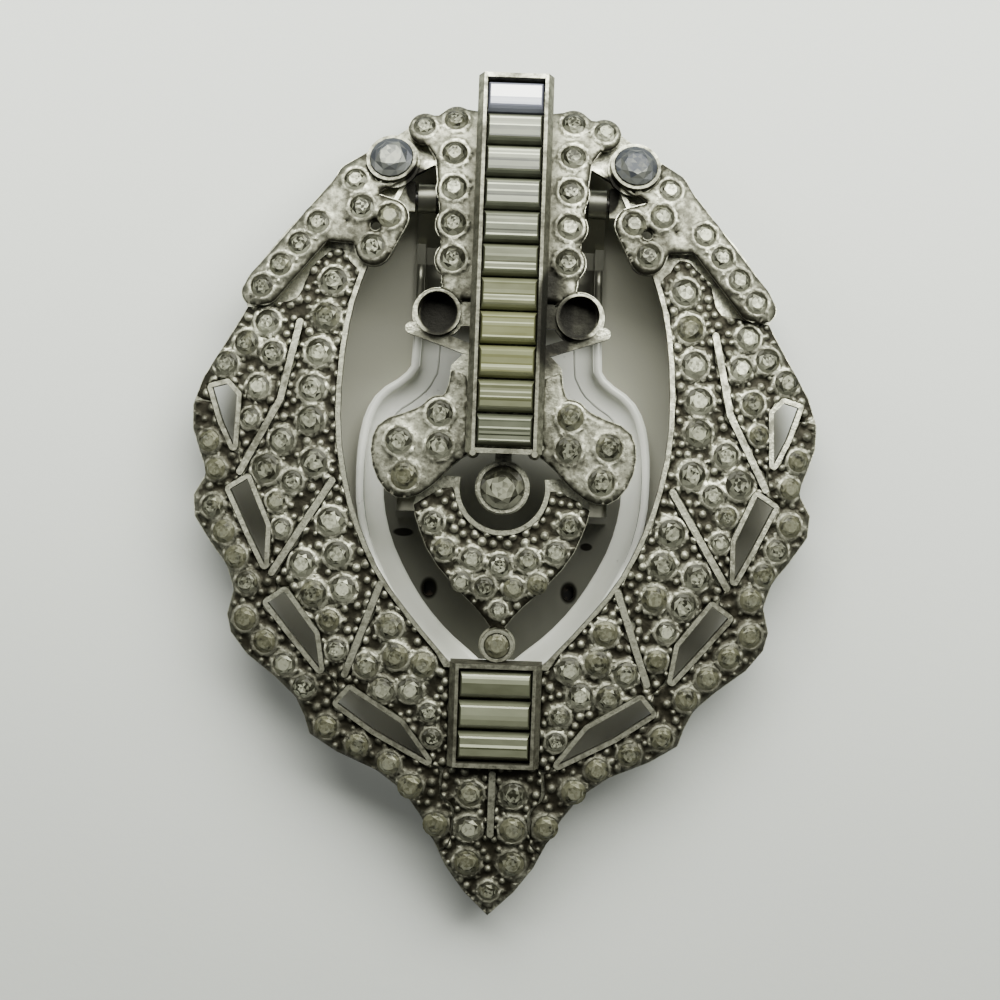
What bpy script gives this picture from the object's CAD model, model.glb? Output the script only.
"""Looks of a dress clip: pierced cast metal, pavé stones, a raised column of baguettes, a sprung lever."""

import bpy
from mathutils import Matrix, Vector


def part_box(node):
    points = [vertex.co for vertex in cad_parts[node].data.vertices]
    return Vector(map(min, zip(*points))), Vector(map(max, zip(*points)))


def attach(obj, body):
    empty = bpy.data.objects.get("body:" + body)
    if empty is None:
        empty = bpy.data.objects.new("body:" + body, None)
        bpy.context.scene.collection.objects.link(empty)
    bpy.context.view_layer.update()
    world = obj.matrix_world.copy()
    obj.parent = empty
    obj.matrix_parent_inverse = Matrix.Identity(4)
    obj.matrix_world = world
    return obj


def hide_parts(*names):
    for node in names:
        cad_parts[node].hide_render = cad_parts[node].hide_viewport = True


bl_info = {
    "name": "Dress Clip",
    "version": (1, 0, 0),
    "blender": (4, 5, 0),
    "location": "View3D > Sidebar > Dress Clip",
    "description": "Finishes the casting, stones, baguettes, lever and stage of a dress clip",
    "category": "Object",
}

import copy
import math
from collections import namedtuple

import bpy
import numpy as np
from bpy.props import FloatProperty, FloatVectorProperty, IntProperty, PointerProperty
from mathutils import Vector
from mathutils.bvhtree import BVHTree
from mathutils.geometry import delaunay_2d_cdt

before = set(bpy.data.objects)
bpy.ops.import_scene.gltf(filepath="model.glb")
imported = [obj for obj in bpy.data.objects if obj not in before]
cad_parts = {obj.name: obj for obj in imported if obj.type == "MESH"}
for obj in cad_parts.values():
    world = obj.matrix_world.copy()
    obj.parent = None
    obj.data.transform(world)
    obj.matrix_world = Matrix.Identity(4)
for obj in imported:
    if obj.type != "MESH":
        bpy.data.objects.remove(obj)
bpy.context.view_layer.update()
MM = 0.001
ROOT = "root"
LEVER = "lever"
# Seeds of the fields, of the single stones and of the baguettes, each from its own start
SEED = 1935
SINGLES_SEED = SEED + 50
BAGUETTES_SEED = SEED + 100

# A field of round stones: its node, whether beads are strewn over its metal, how dull its metal and its
# foils are, and how bright its rubbed edge is
Field = namedtuple("Field", "node strewn dull rubbed")
FIELDS = (Field("wing_stones_left", True, 0.0, 0.0),
          Field("wing_stones_right", True, 0.1, 0.0),
          Field("edge_stones_left", True, 1.15, 0.4),
          Field("edge_stones_right", True, 0.9, 0.3),
          Field("shoulder_stones_left", False, 0.0, 0.0),
          Field("shoulder_stones_right", False, 0.0, 0.0),
          Field("point_stones", True, 0.3, 0.9),
          Field("strip_stones", False, 0.0, 0.0),
          Field("cluster_stones", False, 0.2, 0.0),
          Field("shield_stones", True, 0.1, 0.0))
SINGLES = ("shoulder_stone_left", "shoulder_stone_right", "drop_stone", "small_stone")
COLUMN = tuple(f"baguette_{i:02d}" for i in range(1, 12))
BLOCK = tuple(f"block_baguette_{i}" for i in range(1, 4))

# A stone that stands out: its place in millimetres, and its foil from 0 for bright to 1 for black
Mark = namedtuple("Mark", "x y foil")
MARKED_STONES = (Mark(0.0, 0.6, 0.65), Mark(0.0, -9.9, 0.98), Mark(-8.2, 22.7, 0.5), Mark(8.2, 22.3, 0.7),
                 Mark(11.0, -8.3, 0.45), Mark(12.0, 3.4, 0.9), Mark(-16.1, 2.9, 0.6), Mark(-12.6, -13.0, 0.0))

# A dark place on metal: its middle and its reach in millimetres, and how dark it is from 0 to 1
Spot = namedtuple("Spot", "x y across up dark")
CAST_SPOTS = (Spot(0.0, 15.6, 3.6, 14.6, 0.62),
              Spot(0.0, -14.7, 4.0, 4.4, 0.45),
              Spot(3.0, 11.9, 1.4, 4.0, 0.75),
              Spot(-4.7, 12.2, 1.5, 1.6, 0.97),
              Spot(4.7, 12.2, 1.5, 1.6, 0.88),
              Spot(-4.9, 10.3, 2.6, 0.8, 0.7),
              Spot(4.9, 10.3, 2.6, 0.8, 0.7),
              Spot(-9.4, 17.0, 1.6, 2.2, 0.6),
              Spot(9.6, 16.4, 1.6, 2.2, 0.6),
              Spot(-8.2, 22.7, 2.0, 2.0, 0.5),
              Spot(8.2, 22.3, 2.0, 2.0, 0.55),
              Spot(-6.4, 20.9, 1.0, 1.5, 0.93),
              Spot(6.4, 20.7, 1.0, 1.5, 0.93),
              Spot(-16.5, 5.0, 5.0, 5.0, 0.35),
              Spot(16.0, -9.0, 4.0, 5.0, 0.35),
              Spot(-10.0, -15.5, 6.0, 4.5, 0.30))
LEVER_HOLES = (Spot(-4.81, -6.38, 0.62, 0.80, 0.97),
               Spot(4.81, -6.38, 0.62, 0.80, 0.97))
LEVER_SLITS = (Spot(-6.7, -2.6, 0.75, 0.30, 0.95),
               Spot(5.9, -3.2, 0.45, 0.28, 0.95))

# A step of a baguette from its table down: how far it stands in from the sides and from the ends, and how
# far down it lies, as shares of the stone's height
Step = namedtuple("Step", "side end depth")
STEPS = (Step(0.16, 0.30, 0.00), Step(0.12, 0.22, 0.06), Step(0.06, 0.12, 0.20), Step(0.01, 0.01, 0.44),
         Step(0.0, 0.0, 1.0))
# Tones of a step's left, lower, right and upper faces, and how much darker each lower step is
STEP_TONES = (0.15, 0.24, 0.17, 0.30)
STEP_FALL = 0.6
FOOT_TONE = 0.1

# A strip of a baguette's table, where a step of the pavilion shows through it
Strip = namedtuple("Strip", "share tone")
COLUMN_STRIPS = (Strip(0.08, 0.08), Strip(0.06, 1.15), Strip(0.12, 0.30), Strip(0.26, 0.15), Strip(0.08, 0.0),
                 Strip(0.18, 0.22), Strip(0.08, 0.75), Strip(0.14, 0.07))
# The stones of the lower block, from the upper one down
BLOCK_STRIPS = ((Strip(0.36, 0.16), Strip(0.16, 1.30), Strip(0.10, 0.02), Strip(0.38, 0.20)),
                (Strip(0.45, 0.34), Strip(0.25, 0.27), Strip(0.30, 0.17)),
                (Strip(0.14, 0.80), Strip(0.26, 0.46), Strip(0.10, 0.12), Strip(0.50, 0.08)))
# The highest stone, which mirrors the light above a cooler foot
TOP_STRIPS = (Strip(0.62, 1.0), Strip(0.08, 0.45), Strip(0.18, 0.60), Strip(0.12, 0.40))
LIT_TONE = 1.6
LIT_TINT = 0.4

# Tint of the column's stones, from 0 for cool to 1 for warm, by their share of the way up
Tint = namedtuple("Tint", "up tint")
TINTS = (Tint(0.0, 0.6), Tint(0.25, 0.95), Tint(0.45, 0.7), Tint(0.8, 0.45), Tint(0.95, 0.4), Tint(1.0, 0.05))
BLOCK_TINT_UP = 0.5

# Half width of the floor's shade under the clip at a place up from the middle, in millimetres
Shade = namedtuple("Shade", "up half")
SHADE = (Shade(-28.0, 0.2), Shade(-23.8, 3.4), Shade(-20.4, 6.2), Shade(-17.0, 9.8), Shade(-13.7, 13.0),
         Shade(-10.3, 16.2), Shade(-6.9, 18.0), Shade(-3.5, 19.4), Shade(0.0, 20.8), Shade(6.0, 20.8),
         Shade(10.0, 19.9), Shade(13.3, 17.8), Shade(16.7, 15.4), Shade(20.0, 12.0), Shade(22.8, 8.0),
         Shade(27.0, 0.2))

# A light: its place, the two sides of its face, its power as a share of the key light's, and its colour
Light = namedtuple("Light", "name place size share colour")
LIGHTS = (Light("key", (0.07, 0.24, 0.25), (0.60, 0.24), 1.0, (1.0, 1.0, 0.95)),
          Light("glint", (-0.30, 0.08, 0.22), (0.08, 0.20), 0.07, (1.0, 1.0, 0.97)))
SKY_COLOUR = (0.95, 0.96, 0.95, 1)
FLOOR_HALF = 1.5
FLOOR_DROP = 0.02 * MM
# The point that the camera looks at, and the width of its sensor in millimetres
AIM = (-0.13 * MM, -0.17 * MM, 5 * MM)
SENSOR = 36

# Colours that are the same whatever the settings
LEVER_CLOUDED = (0.90, 0.92, 0.82)
LEVER_CLEAR = (0.98, 1.0, 0.92)
LEVER_WORN = (0.15, 0.15, 0.115)
LEVER_STAINED = (0.012, 0.011, 0.007)
LEVER_SPOTTED = (0.26, 0.25, 0.21)
RUST = (0.17, 0.13, 0.09)
FOIL_STAIN = (0.20, 0.20, 0.12)
COLD_GLASS = (0.055, 0.062, 0.078)
DEEP_GLASS = (0.020, 0.023, 0.013)
PALE_GLASS = (0.60, 0.64, 0.46)
WARM_GLASS = (0.34, 0.35, 0.13)
COOL_GLASS = (0.42, 0.44, 0.62)
LIT_GLASS = (0.97, 0.98, 0.96)
FLOOR_SHADE = (0.37, 0.37, 0.30)


class ClipStoneSettings(bpy.types.PropertyGroup):
    """Cut of the stones and the metal that grips them."""

    sides: IntProperty(name="Sides", description="Main facets round a stone's crown",
                       default=8, min=6, max=16)
    table: FloatProperty(name="Table", description="Width of the table as a share of the stone",
                         default=0.56, min=0.4, max=0.7, subtype="FACTOR")
    crown: FloatProperty(name="Crown", description="Height of the crown as a share of the radius",
                         default=0.28, min=0.15, max=0.6, subtype="FACTOR")
    girdle: FloatProperty(name="Girdle", description="Height of the girdle over the stone's foot",
                          default=0.36 * MM, min=0.0, max=1 * MM, unit="LENGTH")
    lip: FloatProperty(name="Lip", description="Height of the metal's lip over the girdle",
                       default=0.13 * MM, min=0.0, max=0.4 * MM, unit="LENGTH")
    bead: FloatProperty(name="Bead", description="Largest radius of a bead between the stones",
                        default=0.33 * MM, min=0.05 * MM, max=0.6 * MM, unit="LENGTH")
    reach: FloatProperty(name="Reach", description="How far from the stones the beaded metal goes",
                         default=2.2 * MM, min=0.3 * MM, max=3 * MM, unit="LENGTH")


class ClipFinishSettings(bpy.types.PropertyGroup):
    """Colours of the metal and the glass."""

    bright: FloatVectorProperty(name="Bright metal", description="Plating where it is rubbed clean",
                                default=(0.80, 0.81, 0.62), subtype="COLOR", min=0, max=1)
    tarnish: FloatVectorProperty(name="Tarnish", description="Film in the recesses of the metal",
                                 default=(0.022, 0.020, 0.011), subtype="COLOR", min=0, max=1)
    foil: FloatVectorProperty(name="Foil", description="Clear stone over a bright foil",
                              default=(0.78, 0.80, 0.60), subtype="COLOR", min=0, max=1)
    dead: FloatVectorProperty(name="Dead foil", description="Stone whose foil has gone dark",
                              default=(0.022, 0.022, 0.014), subtype="COLOR", min=0, max=1)


class ClipStageSettings(bpy.types.PropertyGroup):
    """Floor, lights and camera."""

    height: FloatProperty(name="Camera height", description="Height of the camera over the casting",
                          default=0.235, min=0.1, max=1, unit="LENGTH")
    view: FloatProperty(name="View width", description="Width that the picture spans at the casting",
                        default=67.5 * MM, min=0.04, max=0.2, unit="LENGTH")
    lean: FloatProperty(name="Lean", description="Turn of the clip in the picture, clockwise",
                        default=math.radians(2.03), subtype="ANGLE")
    floor: FloatVectorProperty(name="Floor", description="Colour of the floor",
                               default=(0.90, 0.945, 0.88), subtype="COLOR", min=0, max=1)
    key: FloatProperty(name="Key light", description="Power of the large light past the upper edge",
                       default=5.0, min=0, max=50, unit="POWER")
    sky: FloatProperty(name="Sky", description="Strength of the even light all round",
                       default=0.10, min=0, max=5)


class Wire:
    """An output socket. Arithmetic on it adds Math nodes, and numbers stay numbers until they meet it."""

    def __init__(self, paint, socket):
        self.paint = paint
        self.socket = socket

    def math(self, operation, *values, clamp=False):
        """A Math node whose inputs are this wire and the values, in order."""
        inputs = {i: value for i, value in enumerate((self, *values))}
        return self.paint.out("ShaderNodeMath", inputs, operation=operation, use_clamp=clamp)

    def __add__(self, other):
        return self.math("ADD", other)

    __radd__ = __add__

    def __mul__(self, other):
        return self.math("MULTIPLY", other)

    __rmul__ = __mul__

    def __sub__(self, other):
        return self.math("SUBTRACT", other)

    def __rsub__(self, other):
        return (self * -1.0) + other

    def __truediv__(self, other):
        return self.math("DIVIDE", other)

    def __rtruediv__(self, other):
        return self.paint.out("ShaderNodeMath", {0: other, 1: self}, operation="DIVIDE")

    def step(self, low, high):
        """0 below low, 1 above high, and a smooth rise between."""
        return self.paint.out("ShaderNodeMapRange", {0: self, 1: low, 2: high},
                              interpolation_type="SMOOTHSTEP")


class Paint:
    """One material. out() makes any node from its type, its settings and its inputs."""

    def __init__(self, name):
        self.material = bpy.data.materials.new(name)
        self.material.use_nodes = True
        self.tree = self.material.node_tree
        self.tree.nodes.clear()
        self.shader = self.node("ShaderNodeBsdfPrincipled")
        self.node("ShaderNodeOutputMaterial", {"Surface": Wire(self, self.shader.outputs[0])})

    def node(self, kind, inputs=None, stops=None, **settings):
        """Any node: its settings first, then the stops of a ramp, then its inputs."""
        made = self.tree.nodes.new(kind)
        for key, value in settings.items():
            setattr(made, key, value)
        if stops:
            ramp = made.color_ramp.elements
            for element, stop in zip((ramp[0], ramp[1]), (stops[0], stops[-1])):
                element.position = stop[0]
                element.color = stop[1]
            for stop in stops[1:-1]:
                ramp.new(stop[0]).color = stop[1]
        for key, value in (inputs or {}).items():
            self.feed(made.inputs[key], value)
        return made

    def feed(self, socket, value):
        """Link a wire to a socket, or set the socket's own value."""
        if isinstance(value, Wire):
            self.tree.links.new(value.socket, socket)
        else:
            socket.default_value = value

    def out(self, kind, inputs=None, stops=None, output=0, **settings):
        """An output of a new node, as a wire."""
        return Wire(self, self.node(kind, inputs, stops, **settings).outputs[output])

    def place(self):
        """Object coordinates in millimetres."""
        here = self.out("ShaderNodeTexCoord", output=3)
        return self.out("ShaderNodeVectorMath", {0: here, 3: 1 / MM}, operation="SCALE")

    def axis(self, index):
        """X, Y or Z of the place, in millimetres."""
        return self.out("ShaderNodeSeparateXYZ", {0: self.place()}, output=index)

    def noise(self, scale, detail=3.0, roughness=0.55, stretch=None):
        """Noise from 0 to 1, its scale in cycles a millimetre."""
        where = self.place()
        if stretch:
            where = self.out("ShaderNodeVectorMath", {0: where, 1: stretch}, operation="MULTIPLY")
        return self.out("ShaderNodeTexNoise", {"Vector": where, "Scale": scale, "Detail": detail,
                                               "Roughness": roughness})

    def attribute(self, name):
        """A number that the mesh holds at its points or corners."""
        return self.out("ShaderNodeAttribute", attribute_name=name, output=2)

    def mix(self, factor, first, second):
        """A colour between two, each a wire or three numbers."""
        first, second = (c if isinstance(c, Wire) else (*c, 1.0) for c in (first, second))
        return self.out("ShaderNodeMix", {0: factor, 6: first, 7: second}, output=2, data_type="RGBA")

    def bump(self, height, distance, strength):
        """A normal raised by a height."""
        return self.out("ShaderNodeBump", {"Height": height, "Distance": distance, "Strength": strength})

    def set(self, **sockets):
        """Values or wires for the shader's sockets, named with _ for a blank."""
        for key, value in sockets.items():
            self.feed(self.shader.inputs[key.replace("_", " ")], value)
        return self.material


def spared(paint, spots):
    """The share of a metal that the dark spots spare: 1 outside them, with soft edges."""
    left = None
    for spot in spots:
        away = paint.out("ShaderNodeVectorMath", {0: paint.place(), 1: (-spot.x, -spot.y, 0)},
                         operation="ADD")
        away = paint.out("ShaderNodeVectorMath", {0: away, 1: (1 / spot.across, 1 / spot.up, 0)},
                         operation="MULTIPLY")
        away = paint.out("ShaderNodeVectorMath", {0: away}, operation="LENGTH", output=1)
        here = away.step(0.75, 1.1) * spot.dark + (1 - spot.dark)
        left = here if left is None else left * here
    return left


def cast_metal(name, finish, shine=None):
    """Dull plated casting: bright where it is rubbed, olive-brown tarnish in pits and recesses, sooty in
    the darkest spots, and duller towards the point. shine names an attribute that is 0 in a recess."""
    paint = Paint(name)
    broad = paint.noise(0.35, 3.0)
    fine = paint.noise(2.2, 5.0, 0.6)
    pits = paint.noise(6.0, 3.0, 0.6)
    film = (broad * 0.4 + fine * 0.6).step(0.36, 0.62)
    facing = paint.out("ShaderNodeSeparateXYZ", {0: paint.out("ShaderNodeNewGeometry", output=1)}, output=2)
    clean = (facing.step(0.35, 0.95) * 0.78 + 0.22) * (0.22 + film * 0.78)
    if shine:
        clean = clean * paint.attribute(shine)
    left = spared(paint, CAST_SPOTS)
    clean = clean * left * (paint.axis(1).step(-24.0, 8.0) * 0.45 + 0.55)
    colour = paint.mix(clean, finish.tarnish, finish.bright)
    speck = pits.step(0.58, 0.70) * 0.5
    soot = speck.math("MAXIMUM", (1.0 - left).step(0.62, 0.95) * 0.88)
    colour = paint.mix(soot, colour, tuple(0.16 * c for c in finish.tarnish))
    return paint.set(Base_Color=colour, Metallic=0.70 + clean * 0.26, Roughness=0.55 - clean * 0.24,
                     Normal=paint.bump(fine * 0.6 + pits * 0.4, 0.09 * MM, 0.6))


def polished_lever(name, dull):
    """Polished plated sheet: fine scratches along the length, faint clouding, and worn to grey on its floor
    by the share in dull and at its neck."""
    paint = Paint(name)
    cloud = paint.noise(0.14, 3.0)
    scratch = paint.noise(3.2, 4.0, 0.7, stretch=(1.0, 0.06, 1.0))
    spot = paint.noise(1.1, 4.0, 0.6).step(0.66, 0.74)
    up = paint.axis(1)
    worn = ((up * -1.0).step(-7.5, 0.5) * dull).math("MAXIMUM", up.step(9.5, 11.5) * 0.96)
    colour = paint.mix(cloud.step(0.35, 0.7), LEVER_CLOUDED, LEVER_CLEAR)
    colour = paint.mix(worn, colour, LEVER_WORN)
    colour = paint.mix(1.0 - spared(paint, LEVER_HOLES + LEVER_SLITS), colour, LEVER_STAINED)
    colour = paint.mix(spot * 0.3, colour, LEVER_SPOTTED)
    return paint.set(Base_Color=colour, Metallic=0.10 + worn * 0.82, Roughness=0.30 + scratch * 0.14,
                     Normal=paint.bump(scratch, 0.01 * MM, 0.25))


def steel(name, tone):
    """Plain drawn steel of a grey tone with a little rust brown in patches."""
    paint = Paint(name)
    patch = paint.noise(0.9, 4.0).step(0.5, 0.68)
    colour = paint.mix(patch * 0.6, (tone, tone, tone * 0.96), RUST)
    drawn = paint.noise(4.0, 2.0, stretch=(0.1, 1.0, 1.0))
    return paint.set(Base_Color=colour, Metallic=0.9, Roughness=0.34 + drawn * 0.2)


def foiled_glass(name, finish, cold=0.0):
    """Foil-backed stone: each facet has its own tone, and its stone's state says how dead its foil is. A
    share of cold above 0 turns it to a bluish grey."""
    paint = Paint(name)
    tone = paint.attribute("tone")
    state = paint.attribute("state")
    cloud = paint.noise(1.6, 4.0, 0.6)
    light = tone * (1.0 - state * 0.80) + cloud * 0.16 - 0.08
    light = light.math("MAXIMUM", 0.0, clamp=True)
    colour = paint.mix(light, finish.dead, finish.foil)
    colour = paint.mix((state * cloud).step(0.34, 0.5) * 0.35, colour, FOIL_STAIN)
    colour = paint.mix(cold, colour, COLD_GLASS)
    return paint.set(Base_Color=colour, Metallic=0.30 + light * 0.25, Roughness=0.22 + cloud * 0.16,
                     Coat_Weight=0.08, Coat_Roughness=0.10, IOR=1.24)


def baguette_glass(name):
    """Step-cut stone: pale grey-green glass over foil. Each facet has its own tone, which above 1.2 glows
    white, and its stone's state tints it from cool to warm."""
    paint = Paint(name)
    tone = paint.attribute("tone")
    tint = paint.attribute("state")
    cloud = paint.noise(1.1, 3.0, 0.5, stretch=(0.5, 1.4, 1.0))
    light = (tone + cloud * 0.16 - 0.08).math("MAXIMUM", 0.0, clamp=True)
    colour = paint.mix(light, DEEP_GLASS, PALE_GLASS)
    colour = paint.mix(tint.step(0.55, 1.0) * 0.40, colour, WARM_GLASS)
    colour = paint.mix((1.0 - tint).step(0.7, 1.0) * 0.55, colour, COOL_GLASS)
    colour = paint.mix(tone.step(1.2, 1.5), colour, LIT_GLASS)
    return paint.set(Base_Color=colour, Metallic=0.25, Roughness=0.24 + cloud * 0.14,
                     Coat_Weight=0.18, Coat_Roughness=0.06, IOR=1.50)


def pale_floor(name, tone):
    """Plain pale floor with a faint even grain, darker towards the viewer and where the clip shades it."""
    paint = Paint(name)
    grain = paint.noise(1.4, 3.0)
    up = paint.axis(1)
    low, high, widest = SHADE[0].up, SHADE[-1].up, max(row.half for row in SHADE)
    stops = [((row.up - low) / (high - low), (row.half / widest,) * 3 + (1,)) for row in SHADE]
    half = paint.out("ShaderNodeValToRGB", {0: (up - low) / (high - low)}, stops) * widest
    lit = (paint.axis(0).math("ABSOLUTE") - half).step(-2.6, -0.6)
    drift = up.step(-42.0, 42.0) * 0.9 + paint.noise(0.02, 2.0) * 0.1
    colour = paint.mix(drift, tuple(0.54 * c for c in tone), tone)
    colour = paint.mix(lit, FLOOR_SHADE, colour)
    return paint.set(Base_Color=colour, Roughness=0.9, Normal=paint.bump(grain, 0.05 * MM, 0.25))


def read(items, field, width, kind=np.float64):
    """One property of a whole mesh collection as an array."""
    flat = np.empty(len(items) * width, dtype=kind)
    items.foreach_get(field, flat)
    return flat.reshape(-1, width)


def node_mesh(node):
    """Points and triangles of a CAD node, with coinciding corners joined."""
    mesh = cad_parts[node].data
    points = read(mesh.vertices, "co", 3)
    corners = read(mesh.loops, "vertex_index", 1, np.int32).reshape(-1, 3)
    keys = np.round(points / (0.001 * MM)).astype(np.int64)
    _, first, joined = np.unique(keys, axis=0, return_index=True, return_inverse=True)
    return points[first], joined.ravel()[corners]


def solids_of(node):
    """Points of each closed solid of a node. A label spreads along the triangles until none changes."""
    points, triangles = node_mesh(node)
    label = np.arange(len(points))
    while True:
        low = label[triangles].min(axis=1)
        spread = label.copy()
        np.minimum.at(spread, triangles.ravel(), np.repeat(low, 3))
        spread = spread[spread]
        if (spread == label).all():
            break
        label = spread
    return [points[label == k] for k in np.unique(label)]


class Stones:
    """Places of the round stones of a node, as arrays: foot, axis, radius. The axis is the direction in
    which a solid's points spread least, and the radius their largest distance from it."""

    def __init__(self, node):
        solids = solids_of(node)
        self.axis = np.empty((len(solids), 3))
        self.foot = np.empty((len(solids), 3))
        self.radius = np.empty(len(solids))
        for i, points in enumerate(solids):
            middle = points.mean(axis=0)
            arms = points - middle
            axis = np.linalg.eigh(arms.T @ arms)[1][:, 0]
            axis *= np.sign(axis[2])
            along = arms @ axis
            self.axis[i] = axis
            self.foot[i] = middle + axis * along.min()
            self.radius[i] = np.linalg.norm(arms - np.outer(along, axis), axis=1).max()
        order = np.lexsort((self.foot[:, 0], -self.foot[:, 1]))
        self.axis, self.foot, self.radius = self.axis[order], self.foot[order], self.radius[order]

    def __len__(self):
        return len(self.radius)

    def distances(self, plan):
        """Distance of each point of the plan from each stone's edge."""
        return np.linalg.norm(plan[:, None] - self.foot[None, :, :2], axis=2) - self.radius

    def away(self, plan):
        """Distance of each point of the plan from the nearest stone's edge."""
        return self.distances(plan).min(axis=1)

    def base(self, plan, blend=0.35 * MM):
        """Height of the stones' feet at points of the plan: the planes through the feet, square to their
        axes, weighed by an exponential of how near they are."""
        away = self.distances(plan)
        weight = np.exp(-np.clip(away, 0, None) / blend) + 1e-12
        slope = self.axis[:, :2] / self.axis[:, 2:]
        rise = self.foot[:, 2] - ((plan[:, None] - self.foot[None, :, :2]) * slope[None]).sum(axis=2)
        return (rise * weight).sum(axis=1) / weight.sum(axis=1)

    def carry(self, local, lift=0.0):
        """Points carried to every stone, given as shares of its radius: the first along X as near as it can
        be, the third along its axis and the second across both, from its foot raised by a lift."""
        first = np.cross(np.array([0.0, 1.0, 0.0]), self.axis)
        first /= np.linalg.norm(first, axis=1, keepdims=True)
        second = np.cross(self.axis, first)
        middle = self.foot + self.axis * lift
        return middle[:, None] + self.radius[:, None, None] * (
            local[None, :, 0:1] * first[:, None] + local[None, :, 1:2] * second[:, None]
            + local[None, :, 2:3] * self.axis[:, None])


def merged(parts):
    """Several sets of stones as one."""
    whole = copy.copy(parts[0])
    for field in ("foot", "axis", "radius"):
        setattr(whole, field, np.concatenate([getattr(part, field) for part in parts]))
    return whole


def make_object(name, points, faces, materials, face_material=None, smooth=None, corner_values=None,
                point_values=None):
    """A mesh object at the origin from arrays. corner_values holds one number a face for each name."""
    mesh = bpy.data.meshes.new(name)
    mesh.from_pydata(points.tolist(), [], faces if isinstance(faces, list) else faces.tolist())
    for material in materials:
        mesh.materials.append(material)
    count = len(mesh.polygons)
    if face_material is not None:
        mesh.polygons.foreach_set("material_index", np.asarray(face_material, dtype=np.int32))
    flags = np.zeros(count, dtype=bool) if smooth is None else np.asarray(smooth, dtype=bool)
    mesh.polygons.foreach_set("use_smooth", flags)
    sizes = read(mesh.polygons, "loop_total", 1, np.int32).ravel()
    for key, values in (corner_values or {}).items():
        layer = mesh.attributes.new(key, "FLOAT", "CORNER")
        layer.data.foreach_set("value", np.repeat(np.asarray(values, dtype=np.float32), sizes))
    for key, values in (point_values or {}).items():
        layer = mesh.attributes.new(key, "FLOAT", "POINT")
        layer.data.foreach_set("value", np.asarray(values, dtype=np.float32))
    mesh.validate()
    mesh.update()
    thing = bpy.data.objects.new(name, mesh)
    bpy.context.scene.collection.objects.link(thing)
    return thing


def stand_for(thing, node):
    """Let a piece stand for a CAD node of the casting's body."""
    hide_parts(node)
    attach(thing, ROOT)


def add_to_lever(thing):
    """Let a piece move with the lever."""
    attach(thing, LEVER)


# A ring of a round stone's crown: its radius and height as shares of the stone's radius, its turn as a share
# of the angle between two mains' corners, and its points for each side of the crown
Ring = namedtuple("Ring", "radius height turn points")


def crown_rings(table, crown):
    """Rings of a crown from the girdle up: the girdle, where the girdle facets meet the mains, the mains'
    upper corners, the table's edge, and a ring in the table where the pavilion shows through it."""
    return (Ring(1.0, 0.0, 0.0, 2), Ring(0.80, 0.42 * crown, 0.5, 1),
            Ring(table * 1.06, 0.93 * crown, 0.0, 1), Ring(table * 0.93, crown, 0.5, 1),
            Ring(0.30, crown, 0.0, 1))


def crown_mesh(sides, table, crown):
    """Points and triangles of a crown. Its points lie on circles, and its last one is the table's middle.
    Rings are stitched one to the next: the girdle's facets three to a side, then pairs, then a fan."""
    rings = crown_rings(table, crown)
    circles, starts, count = [], [], 0
    for ring in rings:
        turn = 2 * math.pi * np.arange(sides * ring.points) / (sides * ring.points)
        turn += ring.turn * 2 * math.pi / sides
        circles.append(np.column_stack([ring.radius * np.cos(turn), ring.radius * np.sin(turn),
                                        np.full(len(turn), ring.height)]))
        starts.append(count)
        count += len(turn)
    points = np.concatenate([*circles, [(0.0, 0.0, crown)]])
    k = np.arange(sides)
    left, middle, right = ((2 * k + step) % (2 * sides) for step in range(3))
    here, after = starts[1] + k, starts[1] + (k + 1) % sides
    facets = [np.stack([[left, middle, here], [middle, right, here], [right, after, here]])]
    for upper, under, ring in zip(starts[2:], starts[1:], rings[1:]):
        shift = 1 if ring.turn else 0
        here, after = under + k, under + (k + 1) % sides
        facing, before = upper + (k + shift) % sides, upper + (k + shift - 1) % sides
        facets.append(np.stack([[here, after, facing], [here, facing, before]]))
    facets.append(np.stack([[starts[4] + k, starts[4] + (k + 1) % sides, np.full(sides, count)]]))
    return points, np.concatenate([part.transpose(2, 0, 1).reshape(-1, 3) for part in facets])


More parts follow.
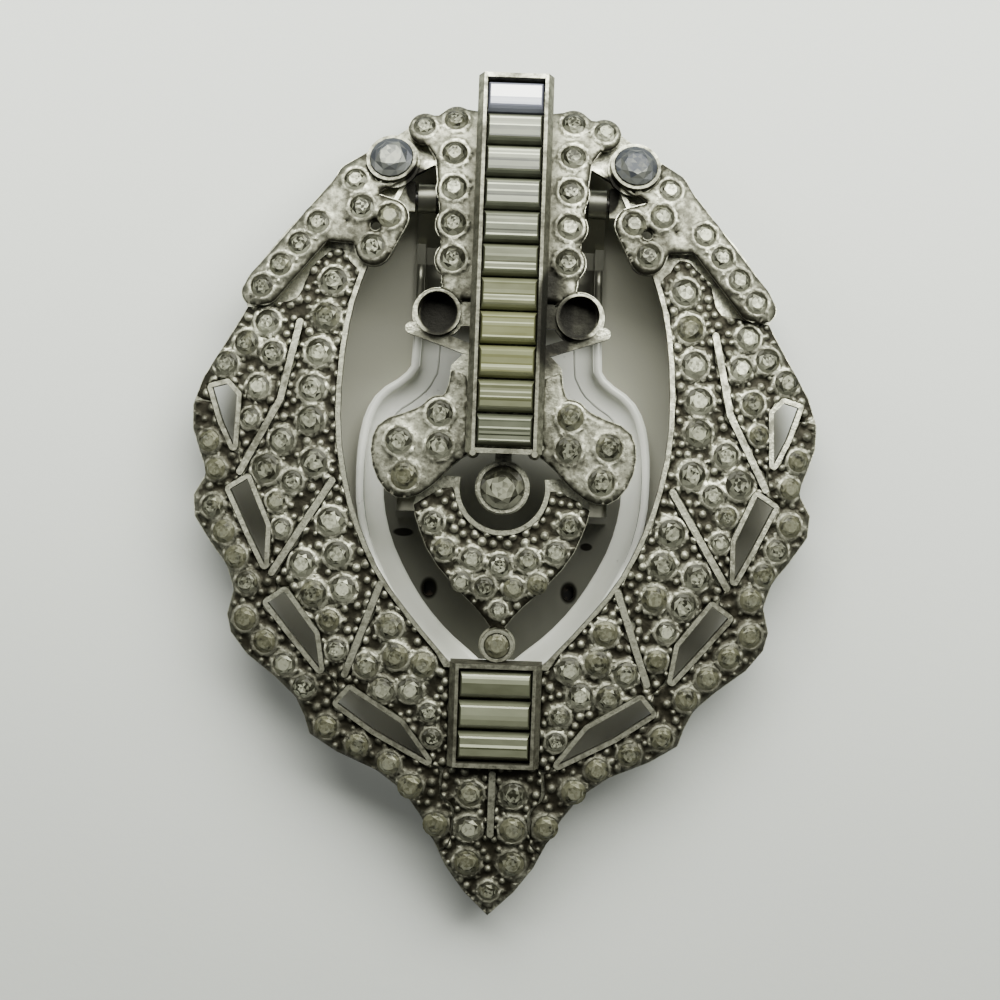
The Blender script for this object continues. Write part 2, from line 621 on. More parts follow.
class Ground:
    """The casting as the CAD model has it: where its top lies, and where its edges run in plan."""

    def __init__(self):
        points, triangles = node_mesh("frame")
        self.tree = BVHTree.FromPolygons(points.tolist(), triangles.tolist())
        corners = points[triangles]
        normal = np.cross(corners[:, 1] - corners[:, 0], corners[:, 2] - corners[:, 0])
        size = np.linalg.norm(normal, axis=1)
        normal /= np.maximum(size, 1e-15)[:, None]
        upright = (np.abs(normal[:, 2]) < 0.4) & (size > 1e-12)
        corners, normal = corners[upright], normal[upright, :2]
        ends = np.stack([corners, np.roll(corners, -1, axis=1)], axis=2)[..., :2]
        longest = np.linalg.norm(ends[:, :, 1] - ends[:, :, 0], axis=2).argmax(axis=1)
        pick = np.arange(len(ends))
        self.wall_from = ends[pick, longest, 0]
        self.wall_to = ends[pick, longest, 1]
        self.wall_out = normal / np.maximum(np.linalg.norm(normal, axis=1), 1e-9)[:, None]

    def holds(self, plan, level, reach=0.30 * MM, slack=0.17 * MM):
        """Whether the casting's top lies at a level, tried by a ray down from just above it."""
        down = Vector((0, 0, -1))
        found = np.zeros(len(plan), dtype=bool)
        for i, (x, y) in enumerate(plan):
            hit = self.tree.ray_cast(Vector((x, y, level[i] + reach)), down)
            found[i] = hit[0] is not None and hit[1].z > 0 and abs(hit[0].z - level[i]) < slack
        return found

    def edge_points(self, stones, reach, spacing=0.12 * MM, inside=0.05 * MM, outside=0.08 * MM):
        """Points just inside the edges of the metal that the stones stand on: walls are walked in even
        steps, and a step is kept where the metal's top lies inside it but not outside it."""
        length = np.linalg.norm(self.wall_to - self.wall_from, axis=1)
        counts = np.maximum(1, np.ceil(length / spacing).astype(int))
        wall = np.repeat(np.arange(len(counts)), counts)
        first = np.repeat(np.cumsum(counts) - counts, counts)
        share = (np.arange(len(wall)) - first + 0.5) / counts[wall]
        walk = self.wall_from[wall] + (self.wall_to - self.wall_from)[wall] * share[:, None]
        out = self.wall_out[wall]
        near = stones.away(walk) < reach
        walk, out = walk[near], out[near]
        level = stones.base(walk)
        kept = self.holds(walk - out * inside, level) & ~self.holds(walk + out * outside, level)
        return walk[kept] - out[kept] * inside


def thin_out(points, against, least):
    """The points, in order, that keep a least distance from a set and from those kept before them."""
    kept = []
    others = list(against)
    grid = {}

    def cell(p):
        return (int(math.floor(p[0] / least)), int(math.floor(p[1] / least)))

    for p in others:
        grid.setdefault(cell(p), []).append(p)
    for p in points:
        cx, cy = cell(p)
        near = [q for i in (-1, 0, 1) for j in (-1, 0, 1) for q in grid.get((cx + i, cy + j), [])]
        if all((p[0] - q[0]) ** 2 + (p[1] - q[1]) ** 2 >= least * least for q in near):
            kept.append(p)
            grid.setdefault((cx, cy), []).append(p)
    return np.array(kept).reshape(-1, 2)


def bead_places(stones, radius, widest=0.75 * MM, share=0.9):
    """Bead centres: beside the place where two neighbours come nearest, on both sides, as far from both
    edges as a share of the bead's radius. Stones with a wider gap between them aren't neighbours."""
    one, other = np.triu_indices(len(stones), 1)
    middle = stones.foot[:, :2]
    apart = middle[other] - middle[one]
    length = np.linalg.norm(apart, axis=1)
    gap = length - stones.radius[one] - stones.radius[other]
    near = gap <= widest
    one, other, apart, length, gap = one[near], other[near], apart[near], length[near], gap[near]
    along = apart / length[:, None]
    arm = stones.radius[one] + gap / 2
    reach = (stones.radius[one] + stones.radius[other]) / 2 + share * radius
    rise = np.sqrt(np.maximum(reach ** 2 - (length / 2) ** 2, 0.0))
    across = np.column_stack([-along[:, 1], along[:, 0]]) * rise[:, None]
    foot = middle[one] + along * arm[:, None]
    return np.stack([foot - across, foot + across], axis=1).reshape(-1, 2)


def nearest(plan, others):
    """Distance of each point of the plan from the nearest of a set of points."""
    if not len(others):
        return np.full(len(plan), 1.0)
    return np.concatenate([np.linalg.norm(part[:, None] - others[None], axis=2).min(axis=1)
                           for part in np.array_split(plan, 1 + len(plan) // 500)])


def circles(centres, radii, count):
    """Points on circles about centres, evenly spread by cos and sin of the turn."""
    turn = np.arange(count) * 2 * math.pi / count
    ring = np.stack([np.cos(turn), np.sin(turn)], axis=1)
    return (centres[:, None] + radii[:, None, None] * ring[None]).reshape(-1, 2)


class Pave:
    """A field of stones with the metal that is its own, as one closed body. The metal is a height over the
    plane of the stones' feet: a lip round each stone, and beads with valleys between them. Its points lie on
    rings round the stones and the beads, along the casting's edges and on an even grid between them. They
    are joined in plan by a constrained triangulation whose holes are the stones' girdles. Metal that is
    nearer to a stone of another field is left to that field."""

    # Rings of points round a stone, its lip's top, where the lip starts to fall, and the width of its fall
    LIP_RINGS = (0.06 * MM, 0.12 * MM, 0.22 * MM)
    LIP_TOP = 0.06 * MM
    LIP_EDGE = 0.09 * MM
    LIP_FALL = 0.10 * MM
    # Height of a valley as a share of the girdle's, between strewn beads and where none are strewn
    VALLEY_STREWN = 0.22
    VALLEY_BARE = 0.75
    # A bead's height as a share of its radius, the least radius as a share of the largest, the shares that
    # chance leaves of it, and the radii as shares and numbers of points of its inner and its outer ring
    BEAD_RISE = 1.15
    BEAD_LEAST = 0.35
    BEAD_CHANCE = (0.65, 1.0)
    BEAD_INNER = (0.62, 6)
    BEAD_OUTER = (1.05, 8)
    # Unevenness of the metal
    GRAIN = 0.014 * MM
    # Depth of the metal under the stones' feet, the width over which it slopes to an edge, its height there,
    # and the shares of its relief and of its shine that are left there
    DEPTH = 0.12 * MM
    BEVEL = 0.16 * MM
    EDGE_LEVEL = 0.02 * MM
    EDGE_RELIEF = 0.35
    EDGE_SHINE = 0.15
    # Least shine where no beads are strewn, share of the shine that a dull field lacks, and shine at the
    # girdles and of the points under and over the stones
    BARE_SHINE = 0.5
    DULL_SHINE = 0.5
    GIRDLE_SHINE = 0.25
    STONE_SHINE = 0.3
    # Least distance of the points round stones and beads from a girdle, and longest side of a triangle
    CLEAR = 0.035 * MM
    LONGEST = 0.8 * MM

    def __init__(self, field, ground, cut, others, rng):
        self.field, self.ground, self.cut, self.others, self.rng = field, ground, cut, others, rng
        self.stones = Stones(field.node)
        self.middle = (self.stones.foot + self.stones.axis * cut.girdle)[:, :2]
        self.turns = 2 * cut.sides
        self.crown, self.facets = crown_mesh(cut.sides, cut.table, cut.crown)
        crowns = self.stones.carry(self.crown, cut.girdle)
        self.rings = crowns[:, :self.turns].reshape(-1, 3)
        self.tops = crowns[:, self.turns:]
        self.edge = self.edge_points()
        self.beads, self.bead_size = self.bead_set()
        self.plan = self.plan_points()

    def from_girdle(self, plan):
        """Distance of points of the plan from the nearest girdle."""
        away = np.linalg.norm(plan[:, None] - self.middle[None], axis=2) - self.stones.radius
        return away.min(axis=1)

    def own(self, plan, clear):
        """Points of the plan that this field's metal takes in, clear of its girdles by a distance."""
        away = self.from_girdle(plan)
        plan = plan[(away > clear) & (away < self.cut.reach) & (away < self.others.away(plan))]
        return plan[self.ground.holds(plan, self.stones.base(plan))] if len(plan) else plan

    def grid(self, step, margin=1 * MM, jitter=0.4):
        """Even grid over the field, each point moved at random by up to a share of the step."""
        low = self.middle.min(axis=0) - self.cut.reach - margin
        high = self.middle.max(axis=0) + self.cut.reach + margin
        xs, ys = np.meshgrid(np.arange(low[0], high[0], step), np.arange(low[1], high[1], step))
        even = np.stack([xs.ravel(), ys.ravel()], axis=1)
        return even + self.rng.uniform(-jitter, jitter, (xs.size, 2)) * step

    def edge_points(self, clear=0.03 * MM, least=0.055 * MM):
        """Points along the edges of the metal that are this field's."""
        edge = self.ground.edge_points(self.stones, self.cut.reach)
        away = self.from_girdle(edge)
        edge = edge[(away > clear) & (away < self.others.away(edge))]
        return thin_out(edge, self.rings[:, :2], least)

    def bead_set(self, gap=0.13 * MM, overlap=0.53, inside=0.95):
        """Places and radii of the beads: beside the stones' nearest points, and strewn between them. A bead
        is as large as the gap to a girdle, a share of the way to the next bead and a share of that to the
        edge allow, and less than that at random."""
        most = self.cut.bead
        beads = self.own(bead_places(self.stones, most), clear=0.20 * MM)
        beads = thin_out(beads, self.edge, least=0.15 * MM)
        beads = thin_out(beads, [], least=1.5 * most)
        if self.field.strewn:
            strewn = self.own(self.rng.permutation(self.grid(step=0.22 * MM)), clear=0.26 * MM)
            strewn = thin_out(strewn, self.edge, least=0.17 * MM)
            beads = np.concatenate([beads, thin_out(strewn, beads, least=1.75 * most)])
        apart = np.linalg.norm(beads[:, None] - beads[None], axis=2) + np.eye(len(beads))
        size = np.minimum(self.from_girdle(beads) - gap, overlap * apart.min(axis=1))
        size = np.minimum(size, inside * nearest(beads, self.edge))
        size = size * self.rng.uniform(*self.BEAD_CHANCE, len(beads))
        return beads, np.clip(size, self.BEAD_LEAST * most, most)

    def plan_points(self):
        """Points of the metal's plan, the girdles' first. Each set stays clear of those before it."""
        lips = [circles(self.middle, self.stones.radius + off, self.turns) for off in self.LIP_RINGS]
        inner, outer = (circles(self.beads, self.bead_size * share, count)
                        for share, count in (self.BEAD_INNER, self.BEAD_OUTER))
        plan = self.rings[:, :2]
        for extra, least in ((self.edge, 0.04 * MM),
                             (self.own(self.beads, clear=0), 0.04 * MM),
                             (self.own(inner, self.CLEAR), 0.05 * MM),
                             (self.own(outer, self.CLEAR), 0.07 * MM),
                             (self.own(np.concatenate(lips), self.CLEAR), 0.07 * MM),
                             (self.own(self.grid(step=0.2 * MM), clear=0.1 * MM), 0.15 * MM)):
            plan = np.concatenate([plan, thin_out(extra, plan, least)])
        return plan

    def loops(self):
        """The sides of the girdles, from one of their points to the next."""
        start = np.arange(len(self.stones))[:, None] * self.turns
        turn = np.arange(self.turns)
        return np.stack([start + turn, start + (turn + 1) % self.turns], axis=2).reshape(-1, 2)

    def triangles(self, overlap=0.05 * MM):
        """Triangles of the metal in plan: those of the triangulation that lie outside the girdles, over the
        casting, and nearer to these stones than to others but for an overlap."""
        points = [Vector(place) for place in (self.plan / MM).tolist()]
        result = delaunay_2d_cdt(points, self.loops().tolist(), [], 0, 1e-5)
        source = [origin[0] if origin else -1 for origin in result[3]]
        found = np.array([[source[v] for v in face] for face in result[2]])
        found = found[(found >= 0).all(axis=1)]
        owner = np.where(found < len(self.rings), found // self.turns, -1 - np.arange(3)[None])
        inner = (owner[:, 0] == owner[:, 1]) & (owner[:, 1] == owner[:, 2])
        corners = self.plan[found]
        sides = np.linalg.norm(corners - np.roll(corners, -1, axis=1), axis=2).max(axis=1)
        centre = corners.mean(axis=1)
        keep = ~inner & (sides < self.LONGEST)
        keep[keep] = self.from_girdle(centre[keep]) < self.others.away(centre[keep]) + overlap
        keep[keep] = self.ground.holds(centre[keep], self.stones.base(centre[keep]))
        found = found[keep]
        arms = self.plan[found[:, 1:]] - self.plan[found[:, :1]]
        return found[:, ::-1] if np.cross(arms[:, 0], arms[:, 1]).sum() < 0 else found

    def relief(self):
        """Points of the metal's top, heights of its underside, and shine, from 0 in a recess to 1 on a lip or
        a bead. A lip rises to its top and falls as a bell curve, and a bead is half an ellipsoid."""
        cut, field = self.cut, self.field
        away = np.clip(self.from_girdle(self.plan), 0, None)
        valley = (self.VALLEY_STREWN if field.strewn else self.VALLEY_BARE) * cut.girdle
        fall = np.exp(-(np.clip(away - self.LIP_EDGE, 0, None) / self.LIP_FALL) ** 2)
        on_lip = away < self.LIP_TOP
        rise = np.where(on_lip, cut.girdle + cut.lip * away / self.LIP_TOP,
                        valley + (cut.girdle + cut.lip - valley) * fall)
        shine = np.where(on_lip, 1.0, fall)
        off = np.linalg.norm(self.plan[:, None] - self.beads[None], axis=2) / self.bead_size[None]
        arch = np.sqrt(np.clip(1 - off.min(axis=1) ** 2, 0, 1))
        dome = np.where(arch > 0, valley + arch * (self.bead_size[off.argmin(axis=1)] * self.BEAD_RISE), 0)
        shine = np.where(dome > rise, np.maximum(shine, arch ** 1.5), shine)
        rise = np.maximum(rise, dome) + self.rng.normal(0, self.GRAIN, len(self.plan))
        inside = np.clip(nearest(self.plan, self.edge) / self.BEVEL, 0, 1)
        left = self.EDGE_RELIEF + (1 - self.EDGE_RELIEF) * inside
        rise = self.EDGE_LEVEL + (rise - self.EDGE_LEVEL) * left
        shine = np.maximum(shine, 0.0 if field.strewn else self.BARE_SHINE)
        shine = shine * (self.EDGE_SHINE + (1 - self.EDGE_SHINE) * inside)
        shine = shine * (1 - self.DULL_SHINE * field.dull)
        shine = np.maximum(shine, field.rubbed * (1 - inside))
        base = self.stones.base(self.plan)
        top = np.column_stack([self.plan, base + rise])
        top[:len(self.rings)] = self.rings
        shine[:len(self.rings)] = self.GIRDLE_SHINE
        return top, base - self.DEPTH, shine

    def body(self):
        """Points, metal faces, glass faces and shine of the closed body: the relief, the same sheet below it,
        walls round the metal's rim and round bare girdles, the crowns, and cones under the stones."""
        top, low, shine = self.relief()
        triangles = self.triangles()
        used = np.union1d(np.arange(len(self.rings)), triangles)
        triangles = np.searchsorted(used, triangles)
        top, low, shine = top[used], low[used], shine[used]
        count = len(used)

        edges = np.concatenate([triangles[:, [0, 1]], triangles[:, [1, 2]], triangles[:, [2, 0]]])
        key = np.array([count, 1])

        def bare(sides):
            """Sides that no triangle has the other way round."""
            return sides[~np.isin(sides[:, ::-1] @ key, edges @ key)]

        ends = bare(edges)
        owner = ends // self.turns
        on_girdle = (ends < len(self.rings)).all(axis=1) & (owner[:, 0] == owner[:, 1])
        rim = np.concatenate([ends[~on_girdle], bare(self.loops())])

        stone = np.arange(len(self.stones))[:, None]
        ring = stone * self.turns + np.arange(self.turns)
        size = self.tops.shape[1]
        crown = 2 * count + stone * size + np.arange(size)
        tip = np.broadcast_to(2 * count + len(self.stones) * size + stone, ring.shape)
        cones = np.stack([np.roll(ring, -1, axis=1) + count, ring + count, tip], axis=2)
        metal = np.concatenate([triangles, triangles[:, ::-1] + count,
                                np.column_stack([rim[:, 1], rim[:, 0], rim[:, 0] + count]),
                                np.column_stack([rim[:, 1], rim[:, 0] + count, rim[:, 1] + count]),
                                cones.reshape(-1, 3)])
        glass = np.hstack([ring, crown])[:, self.facets].reshape(-1, 3)
        points = np.concatenate([top, np.column_stack([top[:, :2], low]), self.tops.reshape(-1, 3),
                                 self.stones.foot - self.stones.axis * self.DEPTH])
        shine = np.concatenate([shine, shine * 0, np.full(len(points) - 2 * count, self.STONE_SHINE)])
        return points, metal, glass, shine

    def make(self, materials):
        """Make the mesh object that stands for the field's node."""
        points, metal, glass, shine = self.body()
        state = stone_states(self.stones, self.rng, self.field.dull)
        tone = facet_tones(len(self.stones), self.crown[self.facets], self.cut.sides, self.rng)
        plain = np.zeros(len(metal))
        is_glass = np.repeat([0, 1], [len(metal), len(glass)])
        thing = make_object(self.field.node + "_set", points, np.concatenate([metal, glass]), materials,
                            face_material=is_glass, smooth=is_glass == 0,
                            corner_values={"tone": np.concatenate([plain, tone.ravel()]),
                                           "state": np.concatenate([plain, np.repeat(state, tone.shape[1])])},
                            point_values={"shine": shine})
        stand_for(thing, self.field.node)


def stone_states(stones, rng, dull=0.0, at_point=0.25, at_dull=0.45, least=0.05, most=0.98, reach=0.9):
    """How dead each stone's foil is, from 0 for bright to 1 for black: drawn at random, more towards the
    point of the clip and in a dull field. The stones that stand out, each the nearest to its mark within a
    reach in millimetres, are set by the table."""
    low = np.interp(stones.foot[:, 1], (-24 * MM, 8 * MM), (at_point, 0.0))
    state = np.clip(rng.beta(2.0, 2.0, len(stones)) + low + at_dull * dull, least, most)
    for mark in MARKED_STONES:
        away = np.linalg.norm(stones.foot[:, :2] / MM - np.array([mark.x, mark.y]), axis=1)
        if away.min() < reach:
            state[away.argmin()] = mark.foil
    return state


# A zone of a crown, from the girdle in: its facets for each side, how far the stone's own tone shows there,
# and how much its facets differ
Zone = namedtuple("Zone", "facets level spread")
ZONES = (Zone(3, 0.12, 0.14), Zone(4, 0.50, 0.52), Zone(3, 1.25, 0.45))


def facet_tones(stones, facets, sides, rng, lean=0.42):
    """Tone of every facet, in the order of crown_mesh: each stone has a tone of its own, most even in its
    table, the facets at the girdle, where the metal shades the stone, are darker, and those on its lower
    side, where the foil sends the light back, are lighter than those on its upper side."""
    level, spread = np.repeat([zone[1:] for zone in ZONES], [zone.facets * sides for zone in ZONES], axis=0).T
    own = rng.beta(1.5, 2.4, (stones, 1))
    down = -facets.mean(axis=1)[:, 1] * lean
    return np.clip(own * level + down + spread * rng.uniform(-1, 1, (stones, len(facets))), 0, 1)


def round_stone(name, node, cut, material, rng, girdle=0.46, band=0.8, foot=0.55, plain=0.3):
    """One loose round stone: the crown, a girdle band and a cone down to a smaller foot. The girdle's height
    and the foot are shares of the stone's radius, and the band reaches down to a share of that height. The
    faces below the crown share one plain tone."""
    stones = Stones(node)
    turns = 2 * cut.sides
    points, facets = crown_mesh(cut.sides, cut.table, cut.crown)
    tone = facet_tones(1, points[facets], cut.sides, rng)[0]
    points[:, 2] += girdle
    under = [np.column_stack([points[:turns, :2] * share, np.full(turns, height)])
             for share, height in ((1.0, band * girdle), (foot, 0.0))]
    ring = np.arange(turns)
    rings = (ring, len(points) + ring, len(points) + turns + ring)
    faces = [facets]
    for upper, lower in zip(rings, rings[1:]):
        faces.append(np.column_stack([upper, lower, np.roll(lower, -1)]))
        faces.append(np.column_stack([upper, np.roll(lower, -1), np.roll(upper, -1)]))
    last = rings[-1]
    faces.append(np.column_stack([np.full(turns - 2, last[0]), last[2:], last[1:-1]]))
    faces = np.concatenate(faces)
    tone = np.concatenate([tone, np.full(len(faces) - len(facets), plain)])
    state = stone_states(stones, rng)[0]
    thing = make_object(name, stones.carry(np.concatenate([points, *under]))[0], faces, [material],
                        corner_values={"tone": tone, "state": np.full(len(faces), state)})
    stand_for(thing, node)


def baguette(name, node, material, rng, tint, strips, lit=(), chance=0.25):
    """Step-cut stone: rectangles stacked from the table down, the table cut into strips along its width,
    each strip and step with its own tone, which chance raises or lowers by up to a share. The strips in lit
    glow and have a tint of their own."""
    points = solids_of(node)[0]
    middle = points.mean(axis=0)
    across = np.array([1.0, 0.0, 0.0])
    up = np.linalg.eigh((points - middle).T @ (points - middle))[1][:, 0]
    up *= np.sign(up[2])
    along = np.cross(up, across)
    local = np.stack([(points - middle) @ v for v in (across, along, up)], axis=1)
    low, high = local.min(axis=0), local.max(axis=0)
    half_w, half_l, height = (high[0] - low[0]) / 2, (high[1] - low[1]) / 2, high[2] - low[2]

    w, l = half_w - STEPS[0].side * height, half_l - STEPS[0].end * height
    ends = np.concatenate([[0.0], np.cumsum([strip.share for strip in strips])])
    rows = [(side * w, l - 2 * l * end, high[2]) for end in ends for side in (-1, 1)]
    faces = [[2 * i, 2 * i + 2, 2 * i + 3, 2 * i + 1] for i in range(len(strips))]
    tones = [strip.tone for strip in strips]
    left = [2 * i for i in range(len(ends))]
    right = [i + 1 for i in left]
    above = [left[0], left[-1], right[-1], right[0]]
    for k, step in enumerate(STEPS[1:]):
        w, l, z = half_w - step.side * height, half_l - step.end * height, high[2] - step.depth * height
        ring = [len(rows) + i for i in range(4)]
        rows += [(-w, l, z), (-w, -l, z), (w, -l, z), (w, l, z)]
        sides = [[above[(i + 1) % 4], above[i], ring[i], ring[(i + 1) % 4]] for i in range(4)]
        if k == 0:
            sides[0] = left[::-1] + ring[:2]
            sides[2] = right + ring[2:]
        faces += sides
        tones += [tone / (1 + STEP_FALL * k) for tone in STEP_TONES]
        above = ring
    faces.append(above[::-1])
    tones.append(FOOT_TONE)
    local = np.array(rows)
    local[:, :2] += (low[:2] + high[:2]) / 2
    placed = middle + local[:, 0:1] * across + local[:, 1:2] * along + local[:, 2:3] * up
    tones = np.clip(np.array(tones) * rng.uniform(1 - chance, 1 + chance, len(tones)), 0, 1)
    tints = np.full(len(faces), tint)
    tones[list(lit)] = LIT_TONE
    tints[list(lit)] = LIT_TINT
    thing = make_object(name, placed, faces, [material], corner_values={"tone": tones, "state": tints})
    stand_for(thing, node)


def helix(name, node, material, turns=9, wire=0.26 * MM, sides=8, steps_a_turn=20):
    """Spring wire: a circle carried along a helix round the pin, inside the CAD tube's box, with its two
    ends closed by points on the axis of the wire."""
    low, high = (np.array(c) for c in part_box(node))
    middle = (low + high) / 2
    radius = (high[2] - low[2]) / 2 - wire / 2
    steps = turns * steps_a_turn
    t = np.linspace(0, 1, steps + 1)
    angle = 2 * math.pi * turns * t
    x = low[0] + wire / 2 + (high[0] - low[0] - wire) * t
    path = np.column_stack([x, middle[1] + radius * np.cos(angle), middle[2] + radius * np.sin(angle)])
    out = np.column_stack([0 * t, np.cos(angle), np.sin(angle)])
    side = np.array([1.0, 0.0, 0.0])
    turn = np.arange(sides) * 2 * math.pi / sides
    skin = (path[:, None] + wire / 2 * (np.cos(turn)[None, :, None] * out[:, None]
                                        + np.sin(turn)[None, :, None] * side[None, None]))
    points = np.concatenate([skin.reshape(-1, 3), path[[0, -1]]])
    ring, spot = np.meshgrid(np.arange(steps), np.arange(sides), indexing="ij")
    a = (ring * sides + spot).ravel()
    b = (ring * sides + (spot + 1) % sides).ravel()
    faces = np.column_stack([a, a + sides, b + sides, b]).tolist()
    start, end = len(points) - 2, len(points) - 1
    last = steps * sides
    faces += [[(k + 1) % sides, start, k] for k in range(sides)]
    faces += [[last + k, end, last + (k + 1) % sides] for k in range(sides)]
    thing = make_object(name, points, faces, [material], smooth=np.ones(len(faces), bool))
    stand_for(thing, node)


def lever_band(name, material, width=1.9 * MM, flat=0.55 * MM, inset=0.04 * MM, lift=0.015 * MM,
               neck=5.4 * MM, floor=0.62 * MM, level=0.3 * MM, thick=0.05 * MM, turns=220, falls=11):
    """The hollow curve from the lever's rim down to its floor: rays at a level find the CAD lever's edge
    round a middle, from the foot of its neck on one side to that on the other. The band goes inward from it
    with an inset, level over the rim's flat by a lift and then down a quarter of an ellipse to the floor, in
    a number of falls that grow wider."""
    points, triangles = node_mesh("clip_lever")
    tree = BVHTree.FromPolygons(points.tolist(), triangles.tolist())
    foot = points[:, 1].max() - neck
    half = tree.ray_cast(Vector((1.0, foot, level)), Vector((-1, 0, 0)))[0].x
    start = math.atan2(foot, half)
    rim = []
    for angle in np.linspace(start, -math.pi - start, turns):
        out = Vector((math.cos(angle), math.sin(angle), 0))
        rim.append(tree.ray_cast(out + Vector((0, 0, level)), -out)[0])
    rim = np.array(rim)
    tangent = np.gradient(rim, axis=0)
    inward = np.column_stack([tangent[:, 1], -tangent[:, 0]])
    inward /= np.linalg.norm(inward, axis=1, keepdims=True)
    probe = rim[:, :2] + inward * 0.2 * MM
    top = np.array([tree.ray_cast(Vector((x, y, 0.1)), Vector((0, 0, -1)))[0].z for x, y in probe])
    fall = np.linspace(0, 1, falls + 1)[1:] ** 1.2
    across = np.concatenate([[inset, flat * 0.5, flat], flat + (width - flat) * fall])
    share = np.clip((across - flat) / (width - flat), 0, 1)
    drop = np.sqrt(np.clip(1 - (1 - share) ** 2, 0, 1))
    height = top[:, None] + lift + (floor - top)[:, None] * drop[None]
    plan = rim[:, None, :2] + inward[:, None] * across[None, :, None]
    upper = np.concatenate([plan, height[..., None]], axis=2).reshape(-1, 3)
    lower = upper - np.array([0, 0, thick])
    rows = len(across)
    row, column = np.meshgrid(np.arange(turns - 1), np.arange(rows - 1), indexing="ij")
    a = (row * rows + column).ravel()
    sheet = np.column_stack([a, a + 1, a + rows + 1, a + rows])
    edge = np.concatenate([np.arange(rows - 1), rows - 1 + rows * np.arange(turns - 1),
                           (turns * rows - 1) - np.arange(rows - 1), rows * np.arange(turns - 1, 0, -1)])
    after = np.roll(edge, -1)
    count = len(upper)
    faces = np.concatenate([sheet, sheet[:, ::-1] + count,
                            np.column_stack([edge, edge + count, after + count, after])])
    add_to_lever(make_object(name, np.concatenate([upper, lower]), faces, [material],
                             smooth=np.ones(len(faces), bool)))


def hole_lining(name, material, wide=0.12 * MM, low=0.02 * MM, high=0.10 * MM, turns=24, across=0.56,
                up=0.66):
    """Dark foot of each oval hole of the lever: a flat oval, cos and sin of the turn times the half
    widths, from low to high, a little wider than the hole and so sunk into the sheet round it. The hole's
    half widths are shares of its spot's."""
    turn = np.arange(turns) * 2 * math.pi / turns
    points, faces = [], []
    for i, hole in enumerate(LEVER_HOLES):
        oval = np.column_stack([hole.x * MM + (across * hole.across * MM + wide) * np.cos(turn),
                                hole.y * MM + (up * hole.up * MM + wide) * np.sin(turn)])
        points += [np.column_stack([oval, np.full(turns, height)]) for height in (low, high)]
        a = 2 * i * turns + np.arange(turns)
        faces += [a[::-1].tolist(), (a + turns).tolist()]
        faces += np.column_stack([a, np.roll(a, -1), np.roll(a, -1) + turns, a + turns]).tolist()
    add_to_lever(make_object(name, np.concatenate(points), faces, [material]))


def paint_node(node, material):
    """Give a CAD node that stays its finish."""
    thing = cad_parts[node]
    thing.data.materials.clear()
    thing.data.materials.append(material)


def lay_floor(stage):
    """A flat square under the clip, just below the lever's back."""
    corners = np.array([(-1, -1, 0), (1, -1, 0), (1, 1, 0), (-1, 1, 0)]) * FLOOR_HALF
    corners[:, 2] = -FLOOR_DROP
    make_object("floor", corners, [[0, 1, 2, 3]], [pale_floor("floor_pale", stage.floor)])


def set_lights(scene, stage):
    """An even light all round, and lamps that point at the clip."""
    scene.world = bpy.data.worlds.new("studio")
    scene.world.use_nodes = True
    sky = scene.world.node_tree.nodes["Background"]
    sky.inputs[0].default_value = SKY_COLOUR
    sky.inputs[1].default_value = stage.sky
    for light in LIGHTS:
        data = bpy.data.lights.new(light.name, "AREA")
        data.shape = "RECTANGLE"
        data.size, data.size_y = light.size
        data.energy = light.share * stage.key
        data.color = light.colour
        lamp = bpy.data.objects.new(light.name, data)
        lamp.location = light.place
        lamp.rotation_euler = (-Vector(light.place)).to_track_quat("-Z", "Y").to_euler()
        scene.collection.objects.link(lamp)


def set_camera(scene, stage):
    """A camera straight above the clip, turned so that the clip leans in the picture."""
    data = bpy.data.cameras.new("camera")
    data.sensor_width = SENSOR
    data.lens = SENSOR * stage.height / stage.view
    data.clip_start = 0.01
    data.clip_end = 10
    camera = bpy.data.objects.new("camera", data)
    camera.location = Vector(AIM) + Vector((0, 0, stage.height))
    camera.rotation_euler = (0, 0, stage.lean)
    scene.collection.objects.link(camera)
    scene.camera = camera


class CLIP_OT_casting(bpy.types.Operator):
    """Finish the casting in dull plated metal"""

    bl_idname = "clip.casting"
    bl_label = "Casting"

    def execute(self, context):
        paint_node("frame", cast_metal("casting", context.scene.clip_finish))
        return {"FINISHED"}


class CLIP_OT_lever(bpy.types.Operator):
    """Finish the lever, its pin and its spring"""

    bl_idname = "clip.lever"
    bl_label = "Lever and hinge"

    def execute(self, context):
        paint_node("clip_lever", polished_lever("lever_sheet", dull=0.92))
        lever_band("lever_band", polished_lever("lever_rim", dull=0.0))
        hole_lining("hole_lining", steel("tarnished_sheet", tone=0.02))
        paint_node("hinge_pin", steel("pin_steel", tone=0.11))
        helix("spring", "spring_coil", steel("spring_steel", tone=0.09))
        return {"FINISHED"}


class CLIP_OT_pave(bpy.types.Operator):
    """Set the fields of round stones in their beaded metal"""

    bl_idname = "clip.pave"
    bl_label = "Pavé stones"

    def execute(self, context):
        cut = context.scene.clip_stones
        finish = context.scene.clip_finish
        materials = [cast_metal("setting_metal", finish, shine="shine"), foiled_glass("foiled_glass", finish)]
        ground = Ground()
        stones = {field.node: Stones(field.node) for field in FIELDS}
        for i, field in enumerate(FIELDS):
            others = merged([part for node, part in stones.items() if node != field.node])
            Pave(field, ground, cut, others, np.random.default_rng(SEED + i)).make(materials)
        return {"FINISHED"}


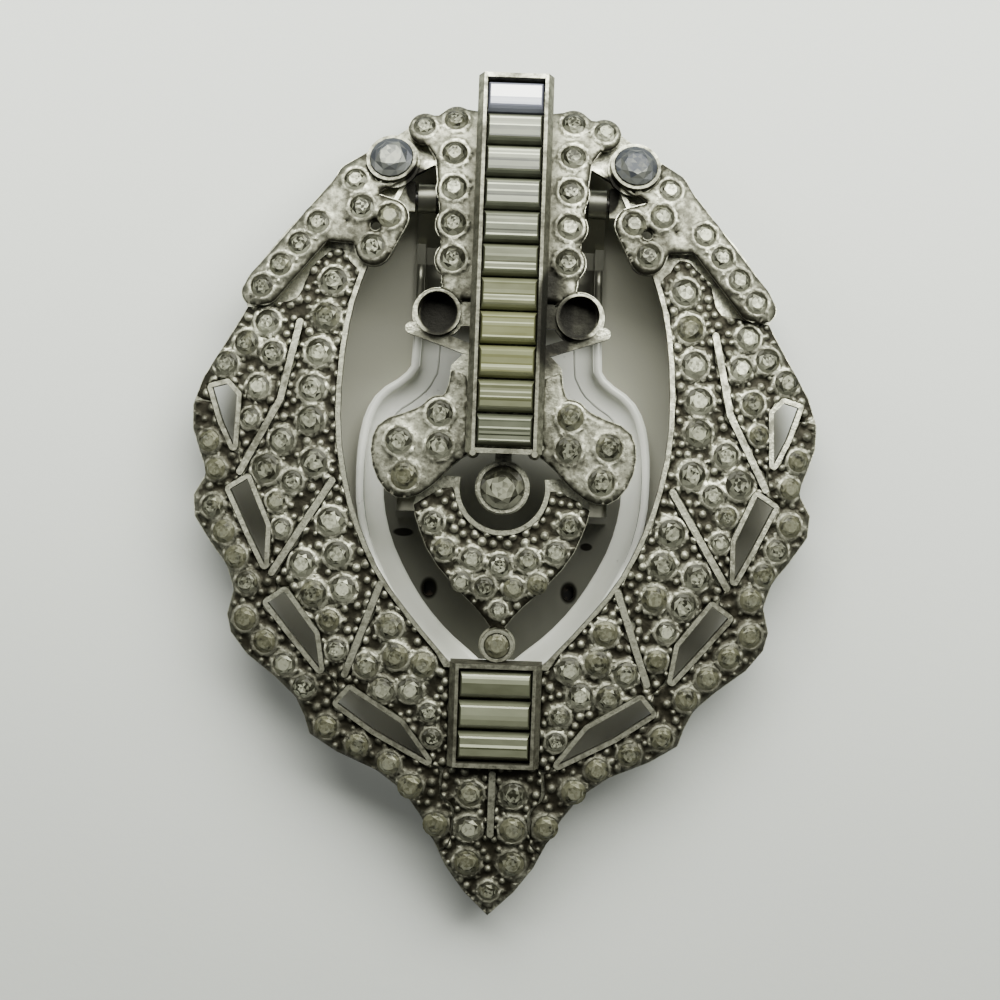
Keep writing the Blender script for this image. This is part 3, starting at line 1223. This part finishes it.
class CLIP_OT_singles(bpy.types.Operator):
    """Cut the larger round stones"""

    bl_idname = "clip.singles"
    bl_label = "Single stones"

    def execute(self, context):
        glass = bpy.data.materials["foiled_glass"]
        cold = foiled_glass("cold_glass", context.scene.clip_finish, cold=0.62)
        for i, node in enumerate(SINGLES):
            round_stone(node + "_cut", node, context.scene.clip_stones, cold if "shoulder" in node else glass,
                        np.random.default_rng(SINGLES_SEED + i))
        return {"FINISHED"}


class CLIP_OT_baguettes(bpy.types.Operator):
    """Cut the baguettes of the column and of the lower block"""

    bl_idname = "clip.baguettes"
    bl_label = "Baguettes"

    def execute(self, context):
        glass = baguette_glass("baguette_glass")
        for i, node in enumerate(COLUMN + BLOCK):
            rng = np.random.default_rng(BAGUETTES_SEED + i)
            up = i / (len(COLUMN) - 1) if node in COLUMN else BLOCK_TINT_UP
            tint = float(np.interp(up, *zip(*TINTS)))
            top = node == COLUMN[-1]
            strips = TOP_STRIPS if top else [COLUMN_STRIPS[k] for k in rng.permutation(len(COLUMN_STRIPS))]
            if node in BLOCK:
                strips = BLOCK_STRIPS[BLOCK.index(node)]
            baguette(node + "_cut", node, glass, rng, tint, strips, lit=(0,) if top else ())
        return {"FINISHED"}


class CLIP_OT_stage(bpy.types.Operator):
    """Lay the pale floor and set the lights and the camera"""

    bl_idname = "clip.stage"
    bl_label = "Stage"

    def execute(self, context):
        stage = context.scene.clip_stage
        lay_floor(stage)
        set_lights(context.scene, stage)
        set_camera(context.scene, stage)
        return {"FINISHED"}


STEPS_IN_ORDER = (CLIP_OT_stage, CLIP_OT_casting, CLIP_OT_lever, CLIP_OT_pave, CLIP_OT_singles,
                  CLIP_OT_baguettes)


class CLIP_PT_panel(bpy.types.Panel):
    """Lists the steps that finish the clip."""

    bl_label = "Dress Clip"
    bl_idname = "CLIP_PT_panel"
    bl_space_type = "VIEW_3D"
    bl_region_type = "UI"
    bl_category = "Dress Clip"

    def draw(self, context):
        for step in STEPS_IN_ORDER:
            self.layout.operator(step.bl_idname)


GROUPS = {"clip_stones": ClipStoneSettings, "clip_finish": ClipFinishSettings,
          "clip_stage": ClipStageSettings}


def register():
    """Register the settings, the operators and the panel."""
    for group in GROUPS.values():
        bpy.utils.register_class(group)
    for name, group in GROUPS.items():
        setattr(bpy.types.Scene, name, PointerProperty(type=group))
    for step in STEPS_IN_ORDER:
        bpy.utils.register_class(step)
    bpy.utils.register_class(CLIP_PT_panel)


def unregister():
    """Undo register, in the opposite order."""
    bpy.utils.unregister_class(CLIP_PT_panel)
    for step in reversed(STEPS_IN_ORDER):
        bpy.utils.unregister_class(step)
    for name, group in reversed(GROUPS.items()):
        delattr(bpy.types.Scene, name)
        bpy.utils.unregister_class(group)


def main():
    register()
    for step in STEPS_IN_ORDER:
        group, name = step.bl_idname.split(".")
        getattr(getattr(bpy.ops, group), name)()


if __name__ == "__main__":
    main()
